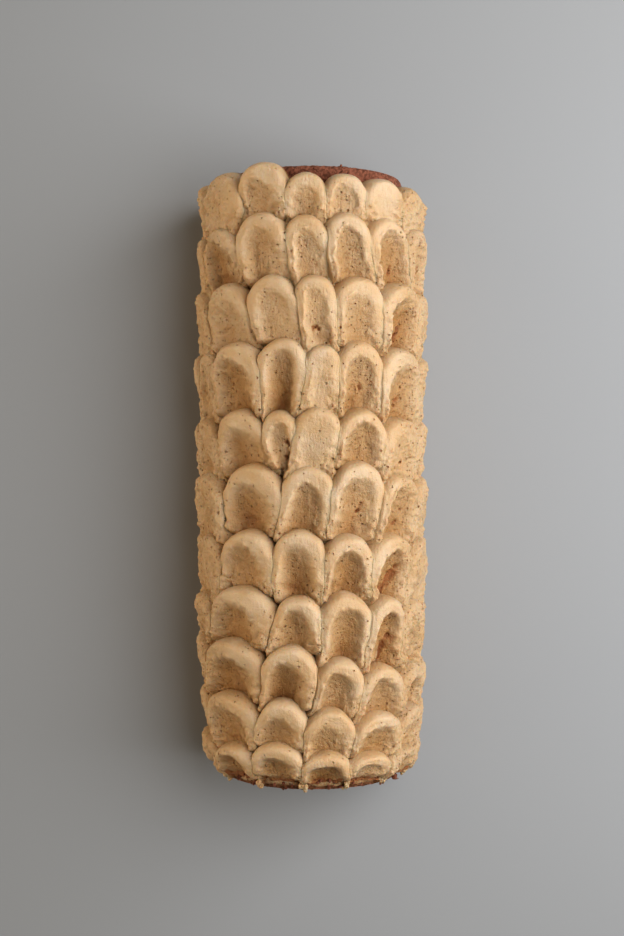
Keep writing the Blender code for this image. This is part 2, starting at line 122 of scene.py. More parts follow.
# How each dollop was scooped, by row and place from the left: millimetres that
# its hollow sits off the middle, and that it leans by the tail; millimetres from
# the base up to the hollow's bed; how much is left of the left leg and of the
# right one; how crisp its edge is and how coarse its bed; and how far the spoon
# bared the sponge.
FORMS = {
    (0, 0): (0, 0, 9.5, 1.0, 1.0, 0.1, 0), (0, 1): (-2.5, 0, 4.4, 0.35, 1.0, 0.7, 0),
    (0, 2): (0, 0, 4.6, 0.7, 0.9, 0.3, 0), (0, 3): (-1, 0, 4.8, 0.6, 0.9, 0.35, 0),
    (0, 4): (1, 0, 7.0, 0.9, 0.6, 0.3, 0), (0, 5): (0, 0, 8.5, 0.8, 0.8, 0.2, 0),
    (1, 0): (0, 0, 7.0, 0.8, 0.8, 0.3, 0), (1, 1): (-4, 0, 2.2, 0.9, 0.35, 0.8, 0),
    (1, 2): (1, 0, 3.8, 1.0, 0.3, 0.65, 0), (1, 3): (0.5, 0, 5.0, 0.95, 0.25, 0.7, 0),
    (1, 4): (0.5, 0, 4.5, 0.95, 0.8, 0.8, 0), (1, 5): (3, 0, 1.6, 1.0, 0.9, 0.9, 0.3),
    (1, 6): (0, 0, 5.0, 0.8, 0.8, 0.6, 0.3),
    (2, 0): (0, 0, 7.0, 0.8, 0.8, 0.4, 0), (2, 1): (0, 0, 4.2, 0.9, 0.5, 0.4, 0),
    (2, 2): (1.5, 1, 5.0, 1.0, 0.5, 0.4, 0), (2, 3): (0, 1, 6.5, 0.9, 0.9, 1.0, 0.3),
    (2, 4): (0, 0, 5.0, 0.9, 0.9, 0.4, 0), (2, 5): (3, -1, 1.6, 1.0, 0.9, 0.8, 0.75),
    (2, 6): (0, 0, 7.0, 0.8, 0.8, 0.5, 0),
    (3, 0): (0, 0, 5.0, 0.9, 0.9, 0.5, 0), (3, 1): (-2.5, 4, 2.5, 0.9, 1.0, 0.8, 0),
    (3, 2): (2, -3, 2.0, 1.0, 0.9, 0.2, 0), (3, 3): (0, 0, 6.5, 0.9, 0.6, 0.3, 0),
    (3, 4): (1, -3, 3.0, 1.0, 0.9, 0.7, 0.3), (3, 5): (2.5, -3, 3.0, 1.0, 0.9, 0.7, 0.4),
    (3, 6): (0, 0, 6.0, 0.8, 0.8, 0.6, 0.2),
    (4, 0): (-3, 0, 5.0, 0.9, 0.8, 0.5, 0), (4, 1): (0, 0, 1.5, 1.0, 0.6, 0.3, 0),
    (4, 2): (2.5, 1, 5.2, 1.1, 0.3, 0.8, 0.6), (4, 3): (0, 0, 7.5, 0.9, 0.8, 0.2, 0),
    (4, 4): (1, 0, 3.0, 0.9, 0.9, 0.8, 0), (4, 5): (1, 0, 6.0, 0.9, 0.9, 0.9, 0.4),
    (5, 0): (-2, 0, 5.5, 0.9, 0.9, 0.8, 0), (5, 1): (-2, 0, 1.5, 0.9, 0.9, 0.5, 0),
    (5, 2): (0.5, 1, 2.0, 0.9, 0.9, 0.7, 0), (5, 3): (1, 0, 2.5, 1.0, 0.8, 0.4, 0.3),
    (5, 4): (1, 0, 4.0, 0.9, 0.9, 1.0, 0.5), (5, 5): (0, 0, 6.5, 0.8, 0.8, 0.6, 0),
    (6, 0): (-2, 0, 6.0, 0.9, 0.9, 0.3, 0), (6, 1): (0, 0, 2.8, 0.8, 0.8, 0.6, 0),
    (6, 2): (-0.5, 0, 2.0, 0.9, 1.0, 0.3, 0), (6, 3): (0.5, -1, 1.5, 0.9, 1.0, 0.7, 0),
    (6, 4): (3, -5, 1.5, 1.0, 0.9, 0.9, 1.0), (6, 5): (0, 0, 7.5, 0.8, 0.8, 0.3, 0),
    (7, 0): (0, 0, 6.5, 0.8, 0.8, 0.4, 0), (7, 1): (-4, 0, 2.5, 0.8, 1.0, 0.5, 0),
    (7, 2): (0, 0, 2.5, 0.9, 0.9, 0.3, 0), (7, 3): (1.5, 0, 2.0, 0.9, 1.0, 0.4, 0),
    (7, 4): (2.5, 0, 1.5, 0.9, 0.9, 0.8, 0.9), (7, 5): (0, 0, 5.0, 0.9, 0.9, 0.8, 0.2),
    (8, 1): (2, 0, 0.8, 1.1, 0.8, 0.8, 0), (8, 2): (-1.5, 0, 1.5, 0.9, 1.0, 0.5, 0),
    (8, 3): (-1, 0, 2.5, 0.8, 1.0, 0.6, 0), (8, 4): (0, 0, 3.0, 0.8, 1.1, 0.8, 0.2),
    (8, 5): (0, 0, 3.0, 0.9, 0.9, 0.9, 0.6),
    (9, 1): (1, 0, 3.0, 1.0, 0.9, 0.8, 0), (9, 2): (0, 0, 3.2, 0.9, 0.9, 0.5, 0),
    (9, 3): (-1, 0, 4.8, 0.9, 0.8, 0.6, 0), (9, 4): (2, -3, 3.0, 0.9, 1.0, 0.7, 0.2),
    (9, 5): (0, -6, 5.0, 1.0, 1.0, 0.5, 0),
    (10, 1): (0, 0, 2.2, 0.8, 0.8, 0.7, 0), (10, 2): (0, 0, 2.2, 0.9, 0.9, 0.5, 0),
    (10, 3): (0, 0, 2.6, 0.9, 0.9, 0.5, 0), (10, 4): (-1, 0, 4.5, 0.9, 0.8, 0.5, 0),
}

# ---- the dollops' finer surface ----
TOP_ARC = 0.068          # dollops nearer the crest than this get the finest mesh
FINE = (160, 31)         # points round a dollop, and rings from outline to middle
COARSE = (92, 20)
CROWDING = 1.25          # power by which the rings crowd towards the outline
PLACES = 20              # seeds set aside for each row
ROW_SPACING = 0.0113     # between the rows' places in the noise
SEAT = 0.0018            # depth to which the outline goes down into the coat
CREASE = 0.0038          # neighbours run together where their heights are this near
CREASE_START = 0.0015    # and fully so this far in from the neighbour's outline
DEEPEST = (0.80, 0.10)   # share of the way down at which a hollow is deepest, give or take
DUG = 0.8                # millimetres by which the hollows are deeper than the solids'
HEAD_LIFT = 4.6          # millimetres from a hollow's deepest up to its bed at the head
LIFT_TO = 0.25           # share of the way down by which it has risen so far
LIFT_POWER = 0.85
HOLLOW_SHIFT = -1.3      # millimetres by which the hollows lie off the middle
HEAD_VARIES = 0.2        # share by which a ridge's top lies nearer or further back
LONGEST_BOWL = 0.62      # of a hollow's round end, with the head, as a share of the length
LEAST_REACH = 0.25       # of a shifted hollow's narrower half, as a share of the even one
HEAD_BAND = 0.70         # how far out the hollow's crisp edge is, near the head
TIP_BAND = 0.82          # and at the legs' tips
BAND_PLACE = 0.75        # where that edge is in the sections below
EASED = 0.6              # share of its crispness that the right edge loses lower down
MEETING = 0.0010         # over which the hollow and the round body run together
# The hollow in section: how far out from its middle line, where the ridge's top
# is 1, and share of the way up from its bed, where the spoon cut softly or crisply.
SOFT_HOLLOW = (
    (0, 0), (0.2, 0.05), (0.4, 0.20), (0.6, 0.46), (0.75, 0.71), (0.88, 0.90), (1.0, 0.98), (1.2, 1.03))
CRISP_HOLLOW = (
    (0, 0), (0.25, 0.06), (0.45, 0.18), (0.62, 0.38), (0.73, 0.68), (0.82, 0.93), (0.9, 0.98), (1.2, 1.03))
LEG_ENDS = (0.0012, 0.0042)  # least and most that a leg stops short of the tail
LAST_OVER = 0.0006       # by which the last row's tails are past the coat's front
BARED = (0.0027, 0.66, 0.26)  # half width, place and half length of a bared patch
BARED_DEPTH = 0.0025     # of cream that is gone from it, at most
SLANT = 0.45             # of a bared patch, across the dollop for each step down it
WORN = (-0.1398, -0.1440)  # Ys between which the cream of the front edge wears away
WORN_DEPTH = 0.0018
BED_ROUGH = (8, 4)       # millimetres up at which a hollow's bed is smooth, and fully rough
HALF_SCRAPED = 0.6       # how rough the coat and the drips are
FLANK = (0.030, 0.047)   # arcs between which the smeared, rougher cream of the sides begins
LIP = 0.0011             # height of the ragged lip along a crisp edge
EDGE_AT = (0.76, 0.12)   # place in those sections of the torn edge, and its half width
LIP_AT = (0.86, 0.07)    # and the same for the lip beside it
DRAGGED = (1, 0.14, 1)   # how the spoon's streaks are drawn out along the dollop

# Layers of noise: height and grain in millimetres, and the seed.
LINE_WANDERS = (0.8, 9, 8)  # a hollow's middle line
OUTLINE_WANDERS = (0.8, 8, 5)  # the outline, round the log
OUTLINE_TORN = (0.5, 2.5, 6)  # and by the legs' tips
FRONT_WANDERS = (0.5, 8, 7)  # the outline, along the log
FRONT_WORN = ((1.4, 3.2, 14), (0.7, 1.4, 15))
STREAKS = (0.28, 1.8, 2)
FLANK_ROUGH = ((0.7, 4.5, 16), (0.45, 1.8, 17), (0.25, 0.9, 18))
COAT_LUMPS = ((0.5, 5, 11), (0.25, 2, 12))
# And as a share: size, grain in millimetres, and the seed.
RIDGE_WAVES = (0.07, 9, 1)
HOLLOW_RAGGED = (0.05, 2.2, 9)
PATCH_RAGGED = ((0.40, 3.5, 10), (0.25, 1.5, 19))
LIP_RAGGED = (1.2, 1.9, 13)
COAT_END_RAGGED = (0.5, 3, 24)
# Lumps and grain of the cream: height in millimetres where it is smooth; what is
# added where it was scraped, where it is torn by the legs' tips, and along a
# hollow's torn edge; then the grain in millimetres, and the seed.
CREAM_RELIEF = ((0.14, 0.25, 0.95, 0.0, 2.8, 3), (0.03, 0.20, 0.60, 0.5, 1.3, 4))

# ---- the coat between the dollops ----
COAT_POINTS = 360        # round the log
COAT_RINGS = (14, 70, 12)  # near the front, between, and near the back
NEAR_END = 0.006         # from its ends where the coat's mesh is finest
OVERRUN = 0.0016         # by which the finer coat runs on, raggedly, past the front
COAT_EDGE = 0.0016       # width of its rounded edge
COAT_TUCKED = 0.0010     # by which that goes down past the skin

# ---- small lumps of cream and crumb ----
BLOB_ROUGH = (0.35, 0.8, 30)  # share of the radius, grain in radii, and seed
BLOB_SPACING = 5.3       # between the lumps' places in the noise

# ---- cream that hangs over the front edge ----
DRIPS_TO = 0.095         # arc past which there is none
DRIP_HEIGHT = 4.6        # millimetres over the skin
DRIP_BEHIND = 0.8        # millimetres from the coat's front edge back to a drip's first lump
DRIP_STEP = 1.0          # millimetres that each further lump is out and down
DRIP_DWINDLES = 0.13     # share by which each further lump is smaller
DRIP_MESH = (16, 24)     # rings, and points round each

# ---- the bare ends ----
FILLING_STEPS = 300
SPIRAL_SAMPLES = 400
PROUD = 0.0003           # by which the filling stands out of the solids' ends
WAVES = (0.12 * MM, 31, 900)  # on it: height, angle to each turn, and shift between its sides
END_POINTS = 430
END_RINGS = 44
BAND = 0.0105            # of skin that the crumb runs back over
BAND_RINGS = 16
LOWEST_CRUMB = 0.0002    # over the table
CRUMB_RELIEF = ((0.55, 2.6, 20), (0.40, 1.2, 21), (0.2, 0.7, 22))  # size, grain in mm, seed
HOLES = (1, 1.9, 23)     # and the same for its holes
CRUMB_STANDS = (0.45, 0.7, 1.2)  # millimetres proud, give or take relief, and less in holes
BAND_STANDS = (0.2, 0.8)  # millimetres proud on the skin, and share of the face's relief
EDGE_STANDS = 0.25       # millimetres of relief at the face's edge
FILLING_CLEAR = 0.0008   # over which the crumb rises beside the filling
SUNK = 0.0008            # by which it is sunk behind the filling
EDGE_SUNK = 0.0007       # by which the face's edge is rounded
BAND_SUNK = 0.0004       # and the band of skin behind it starts
CRUMBS = 260             # loose ones, three in front to each at the back
CRUMB_MESH = (6, 8)
CRUMB_RADIUS = 0.0005
CRUMBS_TO = 0.085        # arc past which no loose crumb clings
CRUMBS_WITHIN = 0.1475   # and Y
FRONT_CRUMBS = (-0.1438, 0.0016, 0.5, 3.6)  # Y, its scatter, and millimetres over the skin
BACK_CRUMBS = (0.1418, 0.0022, 0.2, 0.9)


# ---- noise ----

def hashed(cells, seed):
    """A number from 0 to 1 for each whole-number cell."""
    x, y, z = cells[..., 0], cells[..., 1], cells[..., 2]
    mixed = (x * 374761393 + y * 668265263 + z * 2147483647 + seed * 974711) & 0xFFFFFFFF
    mixed = ((mixed ^ (mixed >> 13)) * 1274126177) & 0xFFFFFFFF
    mixed = ((mixed ^ (mixed >> 16)) * 2246822519) & 0xFFFFFFFF
    return ((mixed ^ (mixed >> 15)) & 0xFFFFFF) / 0xFFFFFF


def noise(points, grain, seed):
    """Smooth noise from -1 to 1 with this grain size, at an array of points."""
    scaled = points / grain
    cell = np.floor(scaled).astype(np.int64)
    part = scaled - cell
    part = part * part * part * (part * (part * 6 - 15) + 10)
    total = np.zeros(points.shape[:-1])
    for corner in range(8):
        step = np.array([corner & 1, corner >> 1 & 1, corner >> 2 & 1])
        weight = np.prod(np.where(step == 1, part, 1 - part), axis=-1)
        total += weight * hashed(cell + step, seed)
    return total * 2 - 1


def share_of(points, layer):
    """One layer of noise, as a share."""
    size, grain, seed = layer
    return size * noise(points, grain * MM, seed)


def uneven(points, layer):
    """One layer of noise, as a height in metres."""
    height, grain, seed = layer
    return height * MM * noise(points, grain * MM, seed)


def smooth(low, high, value):
    """0 at low and 1 at high, and smoothly between them."""
    share = np.clip((value - low) / (high - low), 0, 1)
    return share * share * (3 - 2 * share)


def bell(value, place, half_width):
    """1 at this place, and little by twice the half width from it."""
    return np.exp(-((value - place) / half_width) ** 2)


def rounded(share):
    """A quarter of a circle, from 0 to 1."""
    return np.sqrt(1 - (1 - share) ** 2)


# ---- the log's own coordinates ----

def skin_curve():
    """Arc length, point and outward normal all round the sponge's skin."""
    turn = np.linspace(-math.pi, math.pi, SKIN_STEPS + 1)
    side, up = np.sin(turn), np.cos(turn)
    power = np.where(up >= 0, 1.0, 2 / SQUARENESS)
    reach = np.where(up >= 0, RISE, DROP)
    x = HALF_WIDTH * np.sign(side) * np.abs(side) ** power
    z = AXIS_HEIGHT + reach * np.sign(up) * np.abs(up) ** power
    run = np.hypot(np.gradient(x), np.gradient(z))
    normal_x, normal_z = -np.gradient(z) / run, np.gradient(x) / run
    coat_x, coat_z = x + COAT * normal_x, z + COAT * normal_z
    arc = np.concatenate([[0], np.cumsum(np.hypot(np.diff(coat_x), np.diff(coat_z)))])
    return arc - arc[SKIN_STEPS // 2], x, z, normal_x, normal_z


ARC, SKIN_X, SKIN_Z, NORMAL_X, NORMAL_Z = skin_curve()
ARC_ROUND = float(ARC[-1] - ARC[0])


def girth(along):
    """Share of its full girth that the log has at these Ys."""
    past = (np.minimum(np.abs(along), LENGTH / 2) - NARROW_FROM) / (LENGTH / 2 - NARROW_FROM)
    lost = np.where(np.asarray(along) > 0, NARROWING[1], NARROWING[-1])
    return 1 - lost * np.maximum(0.0, past) ** NARROW_POWER


def on_log(arc, along, height):
    """Points at these arcs, Ys and heights over the sponge's skin."""
    x = np.interp(arc, ARC, SKIN_X) + height * np.interp(arc, ARC, NORMAL_X)
    z = np.interp(arc, ARC, SKIN_Z) + height * np.interp(arc, ARC, NORMAL_Z)
    size = girth(along)
    return np.stack([x * size, along + 0 * x, z * size], axis=-1)


# ---- meshes ----

def grid_faces(rings, count):
    """Quads of a grid of rings, closed round each ring."""
    i = np.arange(count)
    j = (i + 1) % count
    level = np.arange(rings - 1)[:, None] * count
    quads = np.stack([level + i, level + j, level + count + j, level + count + i], axis=-1)
    return quads.reshape(-1, 4)


def joined(parts):
    """The points and faces of several meshes as one, with no point under the table."""
    points, faces, total = [], [], 0
    for part_points, part_faces in parts:
        points.append(part_points)
        faces.append(part_faces + total)
        total += len(part_points)
    return raised_to(np.concatenate(points), 0), np.concatenate(faces)


def raised_to(points, lowest):
    """The points, with none below this height."""
    points[:, 2] = np.maximum(points[:, 2], lowest)
    return points


def above(points, faces, lowest):
    """The faces that have a point above this height."""
    return faces[(points[faces][:, :, 2] > lowest).any(axis=1)]


def add_piece(name, vertices, faces, values=None):
    """A smooth mesh object from arrays, with any named values on its points."""
    mesh = bpy.data.meshes.new(name)
    mesh.vertices.add(len(vertices))
    mesh.vertices.foreach_set("co", np.asarray(vertices, np.float32).ravel())
    sides = faces.shape[1]
    mesh.loops.add(faces.size)
    mesh.loops.foreach_set("vertex_index", faces.astype(np.int32).ravel())
    mesh.polygons.add(len(faces))
    mesh.polygons.foreach_set("loop_start", np.arange(len(faces), dtype=np.int32) * sides)
    mesh.polygons.foreach_set("loop_total", np.full(len(faces), sides, np.int32))
    mesh.update(calc_edges=True)
    mesh.validate()
    for key, value in (values or {}).items():
        layer = mesh.attributes.new(key, "FLOAT", "POINT")
        layer.data.foreach_set("value", np.asarray(value, np.float32).ravel())
    mesh.shade_smooth()
    made = bpy.data.objects.new(name, mesh)
    bpy.context.collection.objects.link(made)
    return made


def cream_values(shape, scraped=0.0, cream=0.0, deep=0.0, bared=0.0):
    """What the buttercream's material reads at each point: how far it was scraped, how thick it lies and how
    deep in a hollow, in millimetres, from which it paints shade, and how far it is bared."""
    none = np.zeros(shape)
    return {"scraped": none + scraped, "cream": none + cream, "deep": none + deep, "bared": none + bared}


# ---- dollops ----

def half_outline(step, half, length):
    """Share of the half width, and distance down, of the outline's right half: step
    runs from 0 at the head's front to 1 at the tail's middle."""
    head = min(half * HEAD_LENGTH, length / 2)
    turn = np.clip(step / HEAD_STEPS, 0, 1) * math.pi / 2
    run = np.clip((step - HEAD_STEPS) / SIDE_STEPS, 0, 1)
    back = np.clip((step - HEAD_STEPS - SIDE_STEPS) / (1 - HEAD_STEPS - SIDE_STEPS), 0, 1)
    down = head * (1 - np.cos(turn)) + (length - head) * run - NOTCH * length * back
    return np.sin(turn) * (1 - back), down


def lower_of(first, second, blend):
    """The lower of two surfaces, rounded off where they cross."""
    share = np.clip(0.5 + 0.5 * (second - first) / blend, 0, 1)
    return second + (first - second) * share - blend * share * (1 - share)


def shoulder(inset):
    """Share of its height that a dollop has this far in from its outline."""
    return (1 - (1 - np.clip(inset / SHOULDER, 0, 1)) ** ROUNDNESS) ** (1 / ROUNDNESS)


class Dollop:
    """One dollop, as rings of points from its outline in to its middle line.

    A point's place is given by `across` and `down`, in metres from the head's
    middle and front, and by `out` and `run`, the same as shares of its width
    there and of its length. `far` is how far out it is in the hollow, whose
    ridge is at 1.
    """

    def __init__(self, arcs, tips, ends, form, rise, seed, mesh_size):
        self.front, self.length = ends
        self.shift, self.lean, self.bed, self.left, self.right, self.crisp, self.bare = form
        self.seed = seed
        self.lay_out(arcs, tips, mesh_size)
        self.local = np.stack([self.centre + self.across, self.front - self.down,
                               np.full_like(self.down, seed // PLACES * ROW_SPACING)], -1)
        self.set_heights(rise)

    def lay_out(self, arcs, tips, mesh_size):
        """The points' places, on a grid that narrows or bends to the two tips."""
        count, levels = mesh_size
        half = (arcs[1] - arcs[0]) / 2 + LAP
        tip_half = (tips[1] - tips[0]) / 2 + LAP
        self.centre, tip_centre = sum(arcs) / 2, sum(tips) / 2
        self.head = min(half * HEAD_LENGTH, self.length / 2)
        turn = np.arange(count) / count * 2
        self.side = np.where(turn < 1, 1, -1)
        edge_out, edge_down = half_outline(np.where(turn < 1, turn, 2 - turn), half, self.length)
        spine_down = np.clip(edge_down, self.head, self.length * (1 - NOTCH) - MM)
        self.inward = (np.arange(levels) / (levels - 1))[:, None] ** CROWDING
        self.out = self.side * edge_out * (1 - self.inward)
        self.down = edge_down + (spine_down - edge_down) * self.inward
        self.run = np.clip(self.down / self.length, 0, 1)
        bend = self.run ** 2
        self.width = half + (tip_half - half) * bend
        self.middle = (tip_centre - self.centre) * bend
        self.across = self.out * self.width + self.middle

    def own(self, step, shift=0.0):
        """A number from -1 to 1 that is this dollop's own, another for each step."""
        return np.sin(self.seed * step + shift)

    def set_heights(self, rise):
        """Heights of the ridge and of the hollow's bed over the dollop's base."""
        run = self.run
        crest = rise * (1 - TAPER * run ** TAPER_POWER) * (1 + share_of(self.local, RIDGE_WAVES))
        deepest = DEEPEST[0] + DEEPEST[1] * self.own(2.4)
        lift = HEAD_LIFT * np.clip((deepest - run) / (deepest - LIFT_TO), 0, 1) ** LIFT_POWER
        self.low = np.minimum((self.bed + lift - DUG) * MM, crest * FLATTEST)
        kept = self.left + (self.right - self.left) * smooth(-0.25, 0.25, self.out)
        least, most = LEG_ENDS
        short = least + (most - least) * (0.5 + 0.5 * self.own(3.3, 2.1 * self.side))
        ending = rounded(np.clip((self.length - short - self.down) / LEG_END, 0, 1))
        cut_leg = (1 - kept) * smooth(*LEG_FADE, run)
        self.crest = self.low + (crest - self.low) * (1 - cut_leg) * ending

    def loaf(self):
        """Height of the round body, before it was scooped, raised in the crease
        where it and its neighbour run together."""
        width, head = self.width, self.head
        raised = shoulder(self.inward * (head + (width - head) * self.run))
        body = self.crest * raised - LEG_SINK * self.run - SEAT * (1 - raised) ** 2
        next_edge = rounded(np.clip(self.down / head, 0, 1))
        next_inset = 2 * LAP - width * (1 - np.abs(self.out)) - width * (1 - next_edge)
        next_body = self.crest * shoulder(next_inset)
        level = np.clip(1 - np.abs(body - next_body) / CREASE, 0, 1)
        return body + CREASE / 4 * level ** 2 * smooth(0, CREASE_START, next_inset)

    def scoop(self):
        """Height that the spoon left. Sets how far out each point is in the hollow."""
        run = self.run
        rim = RIM + (TIP_RIM - RIM) * run
        reach = np.maximum(self.width - rim, self.width * NARROWEST_HOLLOW)
        head_depth = HEAD_DEPTH * (1 + HEAD_VARIES * self.own(5.1))
        arch = np.minimum(head_depth + reach * BOWL_LENGTH, self.length * LONGEST_BOWL)
        line = (self.shift + HOLLOW_SHIFT + self.lean * run ** 2) * MM + uneven(self.local, LINE_WANDERS)
        self.off = self.across - self.middle - line
        far = self.off / np.maximum(reach - line * np.sign(self.off), reach * LEAST_REACH)
        far = np.hypot(far, np.maximum(0, arch - self.down) / (arch - head_depth))
        self.far = far + self.crisp * share_of(self.local, HOLLOW_RAGGED)
        self.banded = self.far * BAND_PLACE / (HEAD_BAND + (TIP_BAND - HEAD_BAND) * run)
        soft, hard = (np.interp(self.banded, *zip(*table)) for table in (SOFT_HOLLOW, CRISP_HOLLOW))
        sharp = self.crisp * (1 - EASED * smooth(0.0, 0.6, self.out) * smooth(0.2, 0.5, run))
        return self.low + (self.crest - self.low) * (soft + (hard - soft) * sharp)

    def bared_shares(self):
        """How far the sponge shows in the spoon's track, and along the worn front edge."""
        half_width, place, half_length = BARED
        slanted = self.off + SLANT * (self.run - place) * self.length
        patch = bell(slanted, 0, half_width) * bell(self.run, place, half_length) * self.bare
        ragged = sum(share_of(self.local, layer) for layer in PATCH_RAGGED)
        patch = patch + ragged * smooth(0.02, 0.3, patch)
        along = self.front - self.down + sum(uneven(self.local, layer) for layer in FRONT_WORN)
        return patch, smooth(*WORN, along) * smooth(1.0, 0.75, self.far)

    def relief(self, scraped, lumpy, flank):
        """Height of the ragged lip, the spoon's streaks and all unevenness."""
        edge = bell(self.banded, *EDGE_AT) * self.crisp
        lip = bell(self.banded, *LIP_AT) * self.crisp * smooth(0.5, -0.3, self.out)
        height = lip * LIP * np.clip(0.35 + share_of(self.local, LIP_RAGGED), 0, 1.2)
        height = height + scraped * uneven(self.local * np.array(DRAGGED), STREAKS)
        for plain, if_scraped, if_lumpy, on_edge, grain, seed in CREAM_RELIEF:
            size = plain + if_scraped * scraped + if_lumpy * lumpy + on_edge * edge
            height = height + uneven(self.local, (size, grain, seed))
        return height + flank * sum(uneven(self.local, layer) for layer in FLANK_ROUGH)

    def surface(self):
        """The dollop's points, and the values at them that its material reads."""
        height = lower_of(self.loaf(), self.scoop(), MEETING)
        patch, worn = self.bared_shares()
        height = height - smooth(0.35, 0.8, patch) * np.minimum(height, BARED_DEPTH)
        height = height - worn * np.minimum(height, WORN_DEPTH)

        scraped = smooth(0.85, 0.5, self.far) * smooth(*BED_ROUGH, self.bed) * (0.4 + 0.6 * self.crisp)
        torn = smooth(0.35, 0.9, self.run)
        lumpy = torn * smooth(0.35, 0.7, self.far)
        flank = smooth(*FLANK, np.abs(self.centre + self.across))
        height = height + self.relief(scraped, lumpy, flank)
        arc = self.centre + self.across + uneven(self.local, OUTLINE_WANDERS)
        arc = arc + torn * uneven(self.local, OUTLINE_TORN)
        along = self.front - self.down - uneven(self.local, FRONT_WANDERS)

        rough = np.maximum(np.maximum(scraped, 0.7 * lumpy), 0.6 * flank)
        # How far below the ridge a point of the hollow lies, in millimetres, which the material turns into
        # painted shade
        deep = np.maximum((self.crest - height) / MM * smooth(1.05, 0.80, self.far), 0)
        values = cream_values(height.shape, rough, (COAT + height) / MM, deep, np.maximum(patch, worn))
        return on_log(arc, along, COAT + height), values


def row_divisions(listed):
    """The listed arcs in metres, carried on down both sides in equal steps, and
    how many of the dollops between them come before the first listed one."""
    arcs = list(listed)
    while arcs[0] > -LOWEST / MM:
        arcs.insert(0, arcs[0] - SIDE_WIDTH)
    while arcs[-1] < LOWEST / MM:
        arcs.append(arcs[-1] + SIDE_WIDTH)
    added = arcs.index(listed[0])
    return [arc * MM for arc in arcs], added


def front_at(arc, row):
    """Y of the front of a row's dollop nearest to an arc."""
    divisions, fronts = row
    middles = [(a + b) / 2 * MM for a, b in zip(divisions, divisions[1:])]
    return float(np.interp(arc, middles, fronts)) * MM


def aimed(arcs, gaps):
    """Where a dollop's two legs end: in the next row's nearest gaps, if near enough."""
    tips = []
    for arc in arcs:
        gap = min(gaps, key=lambda other: abs(other - arc))
        tips.append(gap if abs(gap - arc) < AIM_REACH else arc)
    middle, half = sum(tips) / 2, max(NARROWEST_TAIL, (tips[1] - tips[0]) / 2)
    return middle - half, middle + half


def row_of_dollops(row, draw, finish):
    """The surfaces of one row's dollops, each with its material's values. The
    unlisted ones are drawn from `draw`, and how they were cut from `finish`."""
    listed, fronts = ROWS[row]
    arcs, added = row_divisions(listed)
    last = row + 1 == len(ROWS)
    gaps = arcs if last else row_divisions(ROWS[row + 1][0])[0]
    for i, sides in enumerate(zip(arcs, arcs[1:])):
        place = i - added
        centre = sum(sides) / 2
        start = front_at(centre, ROWS[row])
        if not 0 <= place < len(fronts):
            start += draw.uniform(-MM, MM)
        tail = COAT_FRONT - LAST_OVER if last else front_at(centre, ROWS[row + 1]) - TUCK
        tail += draw.uniform(-MM, MM)
        length = start - max(tail, -LENGTH / 2)
        plain = (draw.uniform(-0.8, 0.8), draw.uniform(-1.5, 1.5), draw.uniform(3.5, 7.5),
                 0.9, 0.9, finish.uniform(0.2, 0.9), finish.choice((0, 0, 0.5)))
        rise = HEAD_RISE * draw.uniform(0.9, 1.06)
        yield Dollop(sides, aimed(sides, gaps), (start, length), FORMS.get((row, place), plain), rise,
                     row * PLACES + i, FINE if abs(centre) < TOP_ARC else COARSE).surface()


def make_rows():
    """One piece for each row of dollops."""
    draw, finish = random.Random(SEED), random.Random(SEED + 1)
    pieces = []
    for row in range(len(ROWS)):
        grids, marks = zip(*row_of_dollops(row, draw, finish))
        points, faces = joined((grid.reshape(-1, 3), grid_faces(*grid.shape[:2])) for grid in grids)
        values = {name: np.concatenate([mark[name].ravel() for mark in marks]) for name in marks[0]}
        pieces.append(add_piece(f"dollops_{row + 1:02d}", points, above(points, faces, 0), values))
    return pieces


def make_coat():
    """The thin coat that shows between and under the dollops."""
    arcs = np.linspace(-ARC_ROUND / 2, ARC_ROUND / 2, COAT_POINTS + 1)[:-1]
    ends = (COAT_FRONT - OVERRUN, COAT_FRONT + NEAR_END, COAT_BACK - NEAR_END, COAT_BACK)
    front, middle, back = (np.linspace(*pair, count) for *pair, count in zip(ends, ends[1:], COAT_RINGS))
    alongs = np.concatenate([front, middle[1:-1], back])
    arc, along = np.meshgrid(arcs, alongs)
    local = np.stack([arc, along, 0 * arc], -1)
    height = COAT + sum(uneven(local, layer) for layer in COAT_LUMPS)
    to_end = np.minimum(along - COAT_FRONT + OVERRUN, COAT_BACK - along)
    to_end = to_end - MM * (0.5 + share_of(local, COAT_END_RAGGED))
    height = height - (COAT + COAT_TUCKED) * smooth(COAT_EDGE, 0, to_end) ** 2
    points = raised_to(on_log(arc, along, height).reshape(-1, 3), 0)
    faces = above(points, grid_faces(len(alongs), len(arcs)), 0)
    return add_piece("cream_coat", points, faces, cream_values(
        len(points), scraped=HALF_SCRAPED, cream=(height / MM).ravel() + 2))


# ---- the bare ends ----

def spiral(turns, offset=0.0):
    """X and Z of the section on the filling's spiral, moved out from it by offset."""
    share = SPIRAL_INNER + (SPIRAL_OUTER - SPIRAL_INNER) * turns / SPIRAL_TURNS
    turn = SPIRAL_START + turns * 2 * math.pi
    side, up = np.sin(turn), np.cos(turn)
    reach = np.where(up >= 0, RISE, SPIRAL_DROP)
    radius = share / np.hypot(side / HALF_WIDTH, up / reach) + offset
    return side * radius, AXIS_HEIGHT + up * radius


def off_spiral(x, z):
    """How far these points of the section are from the middle of the filling."""
    line = np.stack(spiral(np.linspace(0, SPIRAL_TURNS, SPIRAL_SAMPLES)), -1)
    points = np.stack([x.ravel(), z.ravel()], -1)
    nearest = np.full(len(points), 1.0)
    for place in line:
        nearest = np.minimum(nearest, np.hypot(*(points - place).T))
    return nearest.reshape(x.shape)


